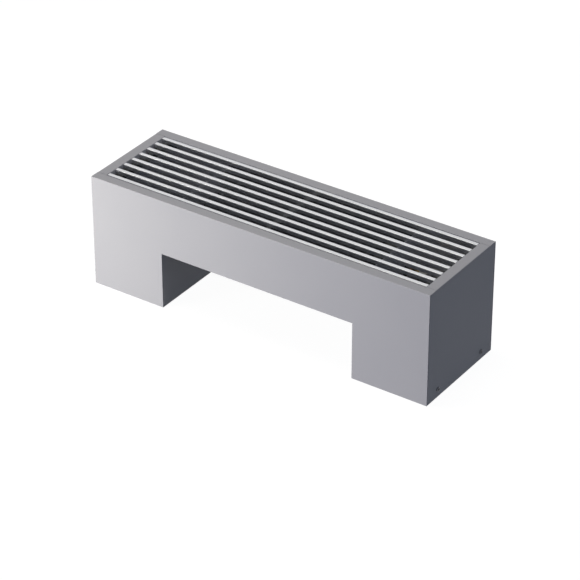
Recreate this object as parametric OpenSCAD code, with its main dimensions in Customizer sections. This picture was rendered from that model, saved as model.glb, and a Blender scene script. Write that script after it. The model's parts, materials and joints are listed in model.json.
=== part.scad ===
// Floor-standing convector: a folded sheet-steel casing on two wide legs, with a linear grille
// let into its top, a finned water heater hung between the legs, and valves over the right leg.
// The origin is on the floor under the middle of the casing.
// X runs along the casing, Y from its front to its rear, and Z up.

/* [Casing] */
// Length over the two side panels
casing_l = 800; // [700:10:1400]
// Depth from the front face to the rear face
casing_d = 240; // [210:5:300]
// Height of the rim above the floor
casing_h = 250; // [236:2:400]
// Thickness of the casing sheet
sheet_t = 2; // [1.5:0.1:2.5]
// Outer radius of the folded edges
fold_r = 1.2; // [0.4:0.1:1.4]
// Length of each leg along the casing
leg_l = 172; // [150:2:200]
// Height of the open gap between the legs
notch_h = 126; // [90:2:138]
// Width of the rim round the grille
rim_w = 22; // [18:1:28]
// Depth of the lip that is folded down round the grille opening
lip_h = 12; // [8:1:16]
// Width of the flanges that join one panel to the next
return_w = 16; // [14:1:20]
// Gap left at each seam between two panels
seam_gap = 0.2; // [0.1:0.05:0.4]
// Depth of the leg panels' top edge below the rim
leg_panel_drop = 32; // [28:1:44]

/* [Grille] */
// Number of bars, front to rear
bar_count = 8; // [6:1:9]
// Width of one bar
bar_w = 8.5; // [7:0.5:13]
// Height of one bar
bar_h = 9; // [7:0.5:11]
// Radius along a bar's two top edges
bar_edge_r = 0.8; // [0.3:0.1:1.5]
// Depth of the bars' top faces below the rim
bar_recess = 0.5; // [0.2:0.1:1.5]
// Gap from the outer bars to the long lips
bar_side_gap = 2.3; // [1:0.1:4]
// Gap from the bars' ends to the short lips
bar_end_gap = 0.8; // [0.6:0.1:3]
// Width and height of the channels that carry the bars
crossbar_size = 12; // [10:1:14]
// Wall of those channels
crossbar_wall = 1.5; // [1:0.1:2]
// Distance from the opening's short edge to the middle of the end channel
crossbar_inset = 10; // [9:1:30]
// Diameter of the screws that hold the bars
bar_screw_d = 3; // [2.5:0.5:4]
// Thickness of the rubber pads under the grille
pad_t = 2; // [1:0.5:3]
// Width of a grille rest
rest_w = 24; // [16:1:26]

/* [Heater] */
// Outer diameter of the heater tubes
tube_d = 16; // [14:0.5:17]
// Wall of the heater tubes
tube_wall = 0.8; // [0.6:0.1:1.2]
// Number of hairpin tubes, front to rear
hairpin_count = 4; // [4:1:4]
// Thickness of one fin
fin_t = 0.4; // [0.3:0.1:0.8]
// Distance from one fin to the next
fin_pitch = 5; // [4:0.5:10]
// Wall of the collars that space the fins
collar_t = 0.55; // [0.4:0.05:0.9]
// Air gap between the fins and each air guide
fin_gap = 4; // [2:0.5:8]
// Thickness of the black inner sheets
guide_t = 1.5; // [1:0.1:2]
// Gap between a tube bend and the leg panel beside it
bend_gap = 3; // [2:0.5:5]
// Length of tube that stands out of an end plate
tube_stub = 8; // [7:0.5:12]

/* [Valves] */
// Bore of the half-inch ports for the floor pipes
port_d = 18.6; // [15:0.1:19]
// Depth of those ports
port_depth = 14; // [10:1:16]
// Distance from a valve's side branch down to its port
valve_drop = 28; // [24:1:34]
// Length of a valve's side branch from its axis
branch_l = 28; // [26:1:34]
// Diameter of the hand cap
cap_d = 34; // [30:1:40]
// Height of the hand cap
cap_h = 18; // [16:1:22]
// Travel of the supply valve's pin
pin_travel = 2.5; // [1.5:0.1:3]

/* [Fixings] */
// Thickness of the floor brackets
bracket_t = 3; // [2:0.5:4]
// Diameter of the floor screw holes
floor_hole_d = 9; // [7:0.5:11]
// Height of the side screws above the floor
side_screw_z = 17.5; // [14:0.5:24]
// Distance from the side screws to the front or rear face
side_screw_inset = 40; // [34:1:56]
// Diameter of the side screws' thread
side_screw_d = 5; // [4:0.5:6]
// Diameter of the small screws and welded studs
stud_d = 4; // [3:0.5:5]

/* [Hidden] */
$fn = 48;
// Overrun of every cut beyond the face it opens
over = 1;
// Radial clearance of a turning or sliding fit, and of a pushed or soldered one
run_fit = 0.05;
// Clearance between faces that must not touch, and holes that pass freely
free_gap = 0.3;

// Faces of the casing
half_l = casing_l/2;
half_d = casing_d/2;
in_x = half_l - sheet_t;
in_y = half_d - sheet_t;
open_x = half_l - rim_w;
open_y = half_d - rim_w;
leg_x = half_l - leg_l;
leg_panel_h = casing_h - leg_panel_drop;
flange_y = in_y - seam_gap;

// Grille, from the rim down
bar_top_z = casing_h - bar_recess;
bar_z = bar_top_z - bar_h;
bar_l = 2*(open_x - bar_end_gap);
bar_pitch = (2*(open_y - bar_side_gap) - bar_w)/(bar_count - 1);
crossbar_z = bar_z - crossbar_size;
crossbar_end_gap = 3;
crossbar_l = 2*(open_y - crossbar_end_gap);
crossbar_xs = [-open_x + crossbar_inset, 0, open_x - crossbar_inset];
bar_screw_head_d = 5.5;
bar_screw_head_h = 1.6;
bar_screw_depth = 5;
bar_screw_end_gap = 1;
pad_z = crossbar_z - free_gap - pad_t;
pad_l = 10;
pad_w = rest_w - 2*sheet_t;
rest_t = sheet_t;
rest_z = pad_z - rest_t;
rest_up_h = 20;
rest_reach = pad_l + crossbar_end_gap + sheet_t;
rest_stud_share = 0.6;
rest_stud_z = rest_z + rest_up_h*rest_stud_share;

// Heater, from the casing's lower hem up
hem_w = rim_w;
hem_top = notch_h + sheet_t;
shelf_t = 2;
shelf_z = hem_top;
shelf_margin = 4.8;
shelf_head_room = 0.5;
plate_t = 2;
plate_foot_l = 20;
plate_foot_z = shelf_z + shelf_t;
fin_rise = 1;
fin_z = plate_foot_z + plate_t + fin_rise;
fin_fill_share = 5/6;
fin_h = fin_fill_share*(rest_z - fin_z);
guide_margin = 1;
guide_y = open_y - guide_margin;
guide_top_z = rest_z - sheet_t;
shelf_y = guide_y - guide_margin;
fin_d = 2*(guide_y - fin_gap);
tube_r = tube_d/2;
tube_pitch_y = fin_d/hairpin_count;
tube_pitch_z = fin_h/2;
low_z = fin_z + (fin_h - tube_pitch_z)/2;
high_z = low_z + tube_pitch_z;
socket_t = 0.9;
socket_l = 6;
socket_r = tube_r + run_fit + socket_t;
right_end = leg_x - bend_gap - tube_pitch_y/2 - socket_r;
left_end = -(leg_x - bend_gap - tube_pitch_z/2 - tube_r);
fin_end = min(right_end, -left_end) - tube_stub - plate_t;
fin_count = floor(2*fin_end/fin_pitch) + 1;
fin_x0 = -(fin_count - 1)*fin_pitch/2;
tube_ys = [for (i = [0:hairpin_count - 1]) (i - (hairpin_count - 1)/2)*tube_pitch_y];
outlet_y = tube_ys[hairpin_count - 1];

// Pipe union between a heater tube and its valve
grommet_wall = 3;
grommet_lip = 2;
port_hole_r = tube_r + grommet_wall;
tail_gap = 16;
tail_start = leg_x + tail_gap;
tail_l = 30;
tail_wall = 1.6;
tail_r = tube_r + tail_wall;
tail_socket = 12;
collar_step = 1.4;
collar_r = tail_r + collar_step;
collar_l = 5;
passage_r = 6;
tail_end = tail_start + tail_l;
outlet_x = tail_start + tail_socket - free_gap;
nut_back = 4;
nut_l = 18;
nut_wall = 4;
nut_af = 2*(collar_r + nut_wall);
valve_x = tail_end + seam_gap + branch_l;

// Valve bodies, measured from the crossing of their two axes
barrel_step = 2;
barrel_r = collar_r + barrel_step;
barrel_top = 16;
hex_step = 1;
hex_af = 2*(barrel_r + hex_step);
hex_h = 10;
seat_z = -6;
chamber_r = 8.5;
neck_top = 22;
neck_r = 11;
spindle_h = 12;
spindle_af = 5;
spindle_socket = 5;
insert_h = 9;
insert_af = 22;
insert_neck_r = 7;
insert_neck_h = 8;
pin_r = 2;
pin_stand = 4;
disc_r = 7.5;
disc_h = 3;
pin_top = neck_top + insert_neck_h + pin_stand;
cap_wall = 3;
cap_z = neck_top + free_gap;
return_cap_r = 13.5;
return_cap_h = 11;
vent_r = 6;
vent_h = 20;
vent_x = 6;
vent_screw_r = 3;
vent_floor = 1;
vent_seat_h = tube_r + vent_floor;
vent_head = 5;

// Floor brackets and fixings
tab_w = 28;
tab_h = 32;
bracket_edge = in_x - seam_gap;
bracket_start = leg_x + 2*sheet_t;
bracket_inset = 20;
bracket_y = half_d - bracket_inset;
window_in = 30;
window_out = 46;
window_margin = 12;
window_y = bracket_y - window_margin;
window_x0 = bracket_start + window_in;
window_x1 = bracket_edge - window_out;
floor_screw_x0 = bracket_start + window_in/2;
floor_screw_x1 = bracket_edge - window_out/2;
floor_screw_y = 60;
side_screw_y = half_d - side_screw_inset;
side_head_d = 9.5;
side_head_h = 2.4;
head_edge_share = 0.35;
side_head_flat_r = 4;
side_socket_af = 4;
side_screw_l = 12;
side_nut_af = 10;
side_nut_h = 5;
stud_r = stud_d/2 - run_fit;
stud_l = 10;
stud_hole_r = stud_d/2 + 2*free_gap;
nut_af_share = 1.75;
nut_h_share = 0.8;
head_h_share = 0.55;
nut_small_af = nut_af_share*stud_d;
nut_small_h = nut_h_share*stud_d;
screw_head_r = nut_small_af/2;
screw_head_h = head_h_share*stud_d;
shelf_up_h = shelf_t + 2*(screw_head_r + shelf_head_room);
shelf_screw_z = shelf_z + (shelf_t + shelf_up_h)/2;
shelf_screw_y = 45;
shelf_screw_ys = [-shelf_screw_y, 0, shelf_screw_y];
foot_screw_y = 60;

// Places of the studs on a long panel, as [x, z]
leg_stud_shares = [0.27, 0.86];
side_studs = [for (s = [-1, 1], k = leg_stud_shares) [s*(in_x - return_w/2), k*leg_panel_h]];
leg_studs = [for (s = [-1, 1], k = leg_stud_shares) [s*(leg_x + return_w/2), k*leg_panel_h]];
rest_studs = [for (x = crossbar_xs) [x, rest_stud_z]];
panel_studs = concat(side_studs, leg_studs, rest_studs);

// A block between its lowest and highest corners
module block(lo, hi) {
    translate(lo) cube(hi - lo);
}

// A flat outline carried along X, with its own x as Y and its own y as Z
module along_x(x0, x1) {
    translate([x0, 0, 0]) rotate([90, 0, 90]) linear_extrude(x1 - x0) children();
}

// A flat outline carried along Y, with its own x as X and its own y as Z
module along_y(y0, y1) {
    translate([0, y1, 0]) rotate([90, 0, 0]) linear_extrude(y1 - y0) children();
}

// What rounding takes off a square corner whose body lies towards dx and dy
module corner_waste(r, dx, dy) {
    difference() {
        translate([dx > 0 ? -over : -r, dy > 0 ? -over : -r]) square(r + over);
        translate([dx*r, dy*r]) circle(r);
    }
}

// A round bar along X between two ends
module rod_x(x0, x1, r) {
    translate([x0, 0, 0]) rotate([0, 90, 0]) cylinder(r = r, h = x1 - x0);
}

// A hexagonal bar, given across its flats
module hex(af, h) {
    cylinder(d = af/cos(30), h = h, $fn = 6);
}

// A hexagonal nut with a free thread hole
module small_nut() {
    difference() {
        hex(nut_small_af, nut_small_h);
        translate([0, 0, -over]) cylinder(r = stud_d/2, h = nut_small_h + 2*over);
    }
}

// A round-headed screw whose head sits on the level of its origin
module small_screw(l) {
    translate([0, 0, -l]) cylinder(r = stud_r, h = l);
    cylinder(r = screw_head_r, h = screw_head_h);
}

// Front panel with its rim, lip, lower hem and welded studs; the rear one is its mirror image
module long_panel() {
    difference() {
        union() {
            block([-half_l, -half_d, 0], [half_l, -in_y, casing_h]);
            block([-half_l, -half_d, casing_h - sheet_t], [half_l, -open_y, casing_h]);
            block([-open_x, -open_y - sheet_t, casing_h - lip_h], [open_x, -open_y, casing_h]);
            block([-leg_x, -half_d, notch_h], [leg_x, -half_d + hem_w, hem_top]);
        }
        block([-leg_x, -half_d - over, -over], [leg_x, -in_y + over, notch_h]);
        along_x(-half_l - over, half_l + over)
            translate([-half_d, casing_h]) corner_waste(fold_r, 1, -1);
        along_x(-open_x, open_x)
            translate([-open_y, casing_h]) corner_waste(fold_r, -1, -1);
        for (s = [-1, 1]) {
            along_y(-half_d - over, -open_y + over)
                translate([s*half_l, casing_h]) corner_waste(fold_r, -s, -1);
            translate([0, 0, -over]) linear_extrude(casing_h + 2*over)
                translate([s*half_l, -half_d]) corner_waste(fold_r, -s, 1);
        }
    }
    for (p = panel_studs)
        translate([p[0], -in_y, p[1]]) rotate([-90, 0, 0]) cylinder(r = stud_r, h = stud_l);
}

module front_panel() {
    color("#9b9ca2") long_panel();
}

module rear_panel() {
    color("#9b9ca2") mirror([0, 1, 0]) long_panel();
}

// Right side panel, whose flanges lie inside the front and rear panels
module side_panel() {
    difference() {
        union() {
            block([in_x, -flange_y, 0], [half_l, flange_y, casing_h - sheet_t - seam_gap]);
            block([open_x, -open_y + seam_gap, casing_h - sheet_t],
                  [half_l, open_y - seam_gap, casing_h]);
            block([in_x, -open_y + seam_gap, 0], [half_l, open_y - seam_gap, casing_h]);
            block([open_x, -open_y + seam_gap, casing_h - lip_h],
                  [open_x + sheet_t, open_y - seam_gap, casing_h]);
            for (s = [0, 1]) mirror([0, s, 0])
                block([half_l - return_w, -flange_y, 0],
                      [half_l, -flange_y + sheet_t, casing_h - sheet_t - seam_gap]);
        }
        along_y(-half_d, half_d) translate([half_l, casing_h]) corner_waste(fold_r, -1, -1);
        along_y(-half_d, half_d) translate([open_x, casing_h]) corner_waste(fold_r, 1, -1);
        for (s = [-1, 1]) {
            translate([0, s*side_screw_y, side_screw_z])
                rod_x(in_x - over, half_l + over, side_screw_d/2 + free_gap);
            for (k = leg_stud_shares)
                translate([in_x - return_w/2, s*half_d, k*leg_panel_h])
                    rotate([90, 0, 0]) cylinder(r = stud_hole_r, h = 2*return_w, center = true);
        }
    }
}

module left_side_panel() {
    color("#8f9097") mirror([1, 0, 0]) side_panel();
}

module right_side_panel() {
    color("#8f9097") side_panel();
}

// Inner wall of the right leg, flanged into the leg; ports lets the two heater tubes through
module leg_panel(ports) {
    difference() {
        union() {
            block([leg_x, -flange_y, 0], [leg_x + sheet_t, flange_y, leg_panel_h]);
            for (s = [0, 1]) mirror([0, s, 0])
                block([leg_x, -flange_y, 0], [leg_x + return_w, -flange_y + sheet_t, leg_panel_h]);
        }
        for (s = [-1, 1], k = leg_stud_shares)
            translate([leg_x + return_w/2, s*half_d, k*leg_panel_h])
                rotate([90, 0, 0]) cylinder(r = stud_hole_r, h = return_w, center = true);
        for (y = shelf_screw_ys)
            translate([0, y, shelf_screw_z])
                rod_x(leg_x - over, leg_x + sheet_t + over, stud_hole_r);
        if (ports)
            for (s = [-1, 1])
                translate([0, s*outlet_y, low_z])
                    rod_x(leg_x - over, leg_x + sheet_t + over, port_hole_r);
    }
}

module left_leg_panel() {
    color("#55585f") mirror([1, 0, 0]) leg_panel(false);
}

module right_leg_panel() {
    color("#55585f") leg_panel(true);
}

// Cross-section of a grille bar, middle of its foot at the origin
module bar_outline() {
    straight_h = bar_h - bar_edge_r;
    translate([-bar_w/2, 0]) square([bar_w, straight_h]);
    translate([-bar_w/2 + bar_edge_r, 0]) square([bar_w - 2*bar_edge_r, bar_h]);
    for (s = [-1, 1])
        translate([s*(bar_w/2 - bar_edge_r), straight_h]) circle(bar_edge_r);
}

function bar_y(i) = (i - (bar_count - 1)/2)*bar_pitch;

module grille_bar(i) {
    color("#dcdde0") difference() {
        along_x(-bar_l/2, bar_l/2) translate([bar_y(i), bar_z]) bar_outline();
        for (x = crossbar_xs)
            translate([x, bar_y(i), bar_z - over])
                cylinder(d = bar_screw_d + 2*run_fit, h = bar_screw_depth + bar_screw_end_gap + over);
    }
}

// Channel under the bars, open downwards
module crossbar(x) {
    color("#8b8c90") difference() {
        block([x - crossbar_size/2, -crossbar_l/2, crossbar_z],
              [x + crossbar_size/2, crossbar_l/2, bar_z]);
        block([x - crossbar_size/2 + crossbar_wall, -crossbar_l/2 - over, crossbar_z - over],
              [x + crossbar_size/2 - crossbar_wall, crossbar_l/2 + over, bar_z - crossbar_wall]);
        for (i = [0:bar_count - 1])
            translate([x, bar_y(i), crossbar_z])
                cylinder(d = bar_screw_d + 2*run_fit, h = crossbar_size + over);
    }
}

module left_crossbar() {
    crossbar(crossbar_xs[0]);
}

module middle_crossbar() {
    crossbar(crossbar_xs[1]);
}

module right_crossbar() {
    crossbar(crossbar_xs[2]);
}

// Screws from inside the channels up into the bars
module grille_screws() {
    color("#c8c9cc") for (x = crossbar_xs, i = [0:bar_count - 1])
        translate([x, bar_y(i), bar_z - crossbar_wall - bar_screw_head_h]) {
            cylinder(d = bar_screw_head_d, h = bar_screw_head_h);
            cylinder(d = bar_screw_d, h = bar_screw_head_h + crossbar_wall + bar_screw_depth);
        }
}

// Angle bracket on the inside of a long panel, and the rubber pad that lies on it
module rest_at(x) {
    difference() {
        union() {
            block([x - rest_w/2, -flange_y, rest_z],
                  [x + rest_w/2, -open_y + rest_reach, rest_z + rest_t]);
            block([x - rest_w/2, -flange_y, rest_z],
                  [x + rest_w/2, -flange_y + rest_t, rest_z + rest_up_h]);
        }
        translate([x, -half_d, rest_stud_z])
            rotate([-90, 0, 0]) cylinder(r = stud_hole_r, h = return_w);
    }
}

// Rests 1 to 3 are on the front panel from left to right, 4 to 6 on the rear panel
module grille_rest(i) {
    on_rear = i >= len(crossbar_xs) ? 1 : 0;
    color("#3a3b3d") mirror([0, on_rear, 0]) rest_at(crossbar_xs[i % len(crossbar_xs)]);
}

module grille_pads() {
    color("#1c1c1c") for (s = [0, 1], x = crossbar_xs) mirror([0, s, 0])
        block([x - pad_w/2, -crossbar_l/2, pad_z],
              [x + pad_w/2, -crossbar_l/2 + pad_l, pad_z + pad_t]);
}

// All fins as one pack, spaced by the collars that are drawn out of them
module fin_pack() {
    color("#26272a") difference() {
        union() {
            for (i = [0:fin_count - 1])
                block([fin_x0 + i*fin_pitch - fin_t/2, -fin_d/2, fin_z],
                      [fin_x0 + i*fin_pitch + fin_t/2, fin_d/2, fin_z + fin_h]);
            for (y = tube_ys, z = [low_z, high_z])
                translate([0, y, z]) rod_x(fin_x0, -fin_x0, tube_r + run_fit + collar_t);
        }
        for (y = tube_ys, z = [low_z, high_z])
            translate([0, y, z]) rod_x(fin_x0 - over, -fin_x0 + over, tube_r + run_fit);
    }
}

// Path of one hairpin at a given radius: two straight runs and the bend at their left end
module hairpin_path(r, low_x, high_x) {
    translate([0, 0, low_z]) rod_x(left_end, low_x, r);
    translate([0, 0, high_z]) rod_x(left_end, high_x, r);
    translate([left_end, 0, (low_z + high_z)/2]) rotate([90, 0, 0]) rotate([0, 0, 90])
        rotate_extrude(angle = 180) translate([tube_pitch_z/2, 0]) circle(r);
}

// The first and last hairpins run on through the right leg panel at the bottom
module hairpin_tube(i) {
    low_x = i == 0 || i == hairpin_count - 1 ? outlet_x : right_end - seam_gap;
    high_x = right_end - seam_gap;
    color("#b4714a") translate([0, tube_ys[i], 0]) difference() {
        hairpin_path(tube_r, low_x, high_x);
        hairpin_path(tube_r - tube_wall, low_x + over, high_x + over);
    }
}

// Soldered bend that joins two hairpins, at the top and the bottom by turns
module return_bend(i) {
    z = i % 2 == 0 ? high_z : low_z;
    color("#b4714a") translate([right_end, (tube_ys[i] + tube_ys[i + 1])/2, z]) difference() {
        union() {
            rotate([0, 0, -90]) rotate_extrude(angle = 180)
                translate([tube_pitch_y/2, 0]) circle(tube_r);
            for (s = [-1, 1]) translate([0, s*tube_pitch_y/2, 0]) rod_x(-socket_l, 0, socket_r);
        }
        rotate([0, 0, -90]) rotate_extrude(angle = 180)
            translate([tube_pitch_y/2, 0]) circle(tube_r - tube_wall);
        for (s = [-1, 1]) translate([0, s*tube_pitch_y/2, 0]) {
            rod_x(-socket_l - over, -seam_gap/2, tube_r + run_fit);
            rod_x(-over, 0, tube_r - tube_wall);
        }
    }
}

// Right end plate of the fin pack, with a foot that stands on the shelf
module end_plate() {
    difference() {
        union() {
            block([fin_end, -fin_d/2, plate_foot_z],
                  [fin_end + plate_t, fin_d/2, fin_z + fin_h]);
            block([fin_end, -fin_d/2, plate_foot_z],
                  [fin_end + plate_foot_l, fin_d/2, plate_foot_z + plate_t]);
        }
        for (y = tube_ys, z = [low_z, high_z])
            translate([0, y, z]) rod_x(fin_end - over, fin_end + plate_t + over, tube_r + free_gap);
        for (s = [-1, 1])
            translate([fin_end + plate_foot_l/2, s*foot_screw_y, plate_foot_z - over])
                cylinder(r = stud_hole_r, h = plate_t + 2*over);
    }
}

module left_end_plate() {
    color("#3a3b3d") mirror([1, 0, 0]) end_plate();
}

module right_end_plate() {
    color("#3a3b3d") end_plate();
}

// Shelf on the right leg panel that carries the heater's right end, clear of the rubber rings
module heater_shelf() {
    difference() {
        union() {
            block([fin_end - shelf_margin, -shelf_y, shelf_z], [leg_x, shelf_y, shelf_z + shelf_t]);
            block([leg_x - shelf_t, -shelf_y, shelf_z], [leg_x, shelf_y, shelf_z + shelf_up_h]);
        }
        for (s = [-1, 1]) translate([0, s*outlet_y, low_z])
            rod_x(leg_x - shelf_t - over, leg_x + over, port_hole_r + grommet_lip + free_gap);
        for (y = shelf_screw_ys)
            translate([0, y, shelf_screw_z])
                rod_x(leg_x - shelf_t - over, leg_x + over, stud_hole_r);
        for (s = [-1, 1])
            translate([fin_end + plate_foot_l/2, s*foot_screw_y, shelf_z - over])
                cylinder(r = stud_hole_r, h = shelf_t + 2*over);
    }
}

module left_heater_shelf() {
    color("#3a3b3d") mirror([1, 0, 0]) heater_shelf();
}

module right_heater_shelf() {
    color("#3a3b3d") heater_shelf();
}

// Screws through the shelves into the leg panels, and down through the end plates' feet
module heater_screws() {
    color("#c8c9cc") for (m = [0, 1]) mirror([m, 0, 0]) {
        for (y = shelf_screw_ys)
            translate([leg_x - shelf_t, y, shelf_screw_z])
                rotate([0, -90, 0]) small_screw(stud_l);
        for (s = [-1, 1])
            translate([fin_end + plate_foot_l/2, s*foot_screw_y, plate_foot_z + plate_t])
                small_screw(plate_t + shelf_t + over);
    }
}

// Black channel that leads the air through the fins, standing on the lower hem
module air_guide() {
    end_x = leg_x - guide_margin;
    block([-end_x, -guide_y - guide_t, hem_top], [end_x, -guide_y, guide_top_z]);
    for (z = [hem_top, guide_top_z - guide_t])
        block([-end_x, -flange_y, z], [end_x, -guide_y, z + guide_t]);
}

module front_air_guide() {
    color("#26272a") air_guide();
}

module rear_air_guide() {
    color("#26272a") mirror([0, 1, 0]) air_guide();
}

// Right floor bracket: a base with a window for the pipes and two tabs behind the side panel
module floor_bracket() {
    difference() {
        union() {
            block([bracket_start, -bracket_y, 0], [bracket_edge, bracket_y, bracket_t]);
            for (s = [-1, 1]) translate([0, s*side_screw_y, 0])
                block([bracket_edge - bracket_t, -tab_w/2, 0], [bracket_edge, tab_w/2, tab_h]);
        }
        block([window_x0, -window_y, -over], [window_x1, window_y, bracket_t + over]);
        for (s = [-1, 1]) {
            for (x = [floor_screw_x0, floor_screw_x1])
                translate([x, s*floor_screw_y, -over]) cylinder(d = floor_hole_d, h = bracket_t + 2*over);
            translate([0, s*side_screw_y, side_screw_z])
                rod_x(bracket_edge - bracket_t - over, bracket_edge + over, side_screw_d/2 + free_gap);
        }
    }
}

module left_floor_bracket() {
    color("#a9acb0") mirror([1, 0, 0]) floor_bracket();
}

module right_floor_bracket() {
    color("#a9acb0") floor_bracket();
}

// Button-headed screws through the side panels, two at each end
module side_screws() {
    head_edge = side_head_h*head_edge_share;
    color("#4a4b50") for (m = [0, 1], s = [-1, 1]) mirror([m, 0, 0])
        translate([half_l, s*side_screw_y, side_screw_z]) rotate([0, 90, 0]) difference() {
            union() {
                translate([0, 0, -side_screw_l]) cylinder(r = side_screw_d/2 - run_fit, h = side_screw_l);
                rotate_extrude() polygon([[0, 0], [side_head_d/2, 0], [side_head_d/2, head_edge],
                    [side_head_d/2 - head_edge, side_head_h - head_edge/2],
                    [side_head_flat_r, side_head_h], [0, side_head_h]]);
            }
            translate([0, 0, side_head_h/2]) hex(side_socket_af, side_head_h);
        }
}

// Nuts welded behind the tabs of the floor brackets
module bracket_nuts() {
    color("#a9acb0") for (m = [0, 1], s = [-1, 1]) mirror([m, 0, 0])
        translate([bracket_edge - bracket_t - side_nut_h, s*side_screw_y, side_screw_z])
            rotate([0, 90, 0]) difference() {
                hex(side_nut_af, side_nut_h);
                translate([0, 0, -over]) cylinder(r = side_screw_d/2, h = side_nut_h + 2*over);
            }
}

// Nuts on the welded studs of the long panels, and on the shelf screws
module panel_nuts() {
    color("#a9acb0") {
        for (m = [0, 1], p = panel_studs) mirror([0, m, 0])
            translate([p[0], -flange_y + sheet_t, p[1]]) rotate([-90, 0, 0]) small_nut();
        for (m = [0, 1], y = shelf_screw_ys) mirror([m, 0, 0])
            translate([leg_x + sheet_t, y, shelf_screw_z])
                rotate([0, 90, 0]) small_nut();
    }
}

// Rubber rings that line the two tube holes of the right leg panel
module tube_grommets() {
    color("#1c1c1c") for (s = [-1, 1]) translate([0, s*outlet_y, low_z]) difference() {
        union() {
            rod_x(leg_x - grommet_lip - run_fit, leg_x - run_fit, port_hole_r + grommet_lip);
            rod_x(leg_x - grommet_lip, leg_x + sheet_t + grommet_lip, port_hole_r - run_fit);
            rod_x(leg_x + sheet_t + run_fit, leg_x + sheet_t + run_fit + grommet_lip,
                  port_hole_r + grommet_lip);
        }
        rod_x(leg_x - 2*grommet_lip, leg_x + sheet_t + 2*grommet_lip, tube_r + run_fit);
    }
}

// Tail piece soldered on a tube's end; the return one has a boss for the air vent
module union_tail(vent) {
    difference() {
        union() {
            rod_x(tail_start, tail_end, tail_r);
            rod_x(tail_end - collar_l, tail_end, collar_r);
            if (vent) translate([tail_start + vent_x, 0, 0]) cylinder(r = vent_r, h = vent_h);
        }
        rod_x(tail_start - over, tail_start + tail_socket, tube_r + run_fit);
        rod_x(tail_start, tail_end + over, passage_r);
        if (vent) translate([tail_start + vent_x, 0, vent_seat_h])
            cylinder(r = vent_screw_r + run_fit, h = vent_h);
    }
}

// Union nut over a tail piece's collar and the valve's branch
module union_nut() {
    nut_start = tail_end - collar_l - run_fit - nut_back;
    difference() {
        translate([nut_start, 0, 0]) rotate([0, 90, 0]) hex(nut_af, nut_l);
        rod_x(nut_start - over, nut_start + nut_l, tail_r + run_fit);
        rod_x(nut_start + nut_back, nut_start + nut_l + over, collar_r + run_fit);
    }
}

// Angle valve body with its port below, its branch towards the heater and its chamber above
module valve_body(neck) {
    difference() {
        union() {
            translate([0, 0, -valve_drop]) cylinder(r = barrel_r, h = valve_drop + barrel_top);
            translate([0, 0, -valve_drop]) hex(hex_af, hex_h);
            rod_x(-branch_l, 0, collar_r);
            if (neck) cylinder(r = neck_r, h = neck_top);
        }
        translate([0, 0, -valve_drop - over]) cylinder(d = port_d, h = port_depth + over);
        translate([0, 0, -valve_drop]) cylinder(r = passage_r, h = valve_drop);
        translate([0, 0, seat_z]) cylinder(r = chamber_r, h = neck_top - seat_z + over);
        rod_x(-branch_l - over, 0, passage_r);
    }
}

module at_supply() {
    translate([valve_x, -outlet_y, low_z]) children();
}

module at_return() {
    translate([valve_x, outlet_y, low_z]) children();
}

module supply_tail() {
    color("#b99a55") translate([0, -outlet_y, low_z]) union_tail(false);
}

module return_tail() {
    color("#b99a55") translate([0, outlet_y, low_z]) union_tail(true);
}

module supply_union_nut() {
    color("#c3c4c6") translate([0, -outlet_y, low_z]) union_nut();
}

module return_union_nut() {
    color("#c3c4c6") translate([0, outlet_y, low_z]) union_nut();
}

module supply_valve_body() {
    color("#c3c4c6") at_supply() valve_body(false);
}

module return_valve_body() {
    color("#c3c4c6") at_return() valve_body(true);
}

// Insert in the top of the supply valve, with the guide bore of its pin
module valve_insert() {
    color("#b99a55") at_supply() difference() {
        union() {
            translate([0, 0, barrel_top - insert_h]) cylinder(r = chamber_r - run_fit, h = insert_h + over);
            translate([0, 0, barrel_top]) hex(insert_af, neck_top - barrel_top);
            translate([0, 0, neck_top]) cylinder(r = insert_neck_r, h = insert_neck_h);
        }
        translate([0, 0, seat_z]) cylinder(r = pin_r + run_fit, h = pin_top - seat_z);
    }
}

// Pin with its sealing disc, held open above the seat
module valve_pin() {
    disc_z = seat_z + pin_travel + seam_gap;
    color("#d0d1d3") at_supply() {
        translate([0, 0, disc_z]) cylinder(r = disc_r, h = disc_h);
        translate([0, 0, disc_z]) cylinder(r = pin_r, h = pin_top - disc_z);
    }
}

// Fluted hand cap that turns on the insert's neck and presses the pin down
module valve_cap() {
    flute_r = cap_wall/2;
    flute_count = 16;
    color("#e8e8e6") at_supply() translate([0, 0, cap_z]) difference() {
        cylinder(d = cap_d, h = cap_h);
        translate([0, 0, -over])
            cylinder(r = insert_neck_r + 2*run_fit, h = insert_neck_h + over);
        cylinder(r = pin_r + free_gap, h = pin_top - cap_z + free_gap);
        for (i = [0:flute_count - 1]) rotate([0, 0, i*360/flute_count])
            translate([cap_d/2 + flute_r/2, 0, -over]) cylinder(r = flute_r, h = cap_h + 2*over);
    }
}

// Regulating spindle inside the return valve's neck, turned with a hexagon key
module return_spindle() {
    spindle_z = neck_top - spindle_h - over;
    plug_z = seat_z + pin_travel + seam_gap;
    color("#b99a55") at_return() difference() {
        union() {
            translate([0, 0, spindle_z]) cylinder(r = chamber_r - run_fit, h = spindle_h);
            translate([0, 0, plug_z]) cylinder(r = disc_r, h = disc_h);
            translate([0, 0, plug_z]) cylinder(r = 2*pin_r, h = spindle_z - plug_z + over);
        }
        translate([0, 0, spindle_z + spindle_h - spindle_socket]) hex(spindle_af, spindle_h);
    }
}

// Blind cap screwed over the return valve's neck
module return_cap() {
    color("#c3c4c6") at_return() translate([0, 0, barrel_top + free_gap]) difference() {
        cylinder(r = return_cap_r, h = return_cap_h);
        translate([0, 0, -over]) cylinder(r = neck_r + run_fit, h = neck_top - barrel_top + over);
    }
}

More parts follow.
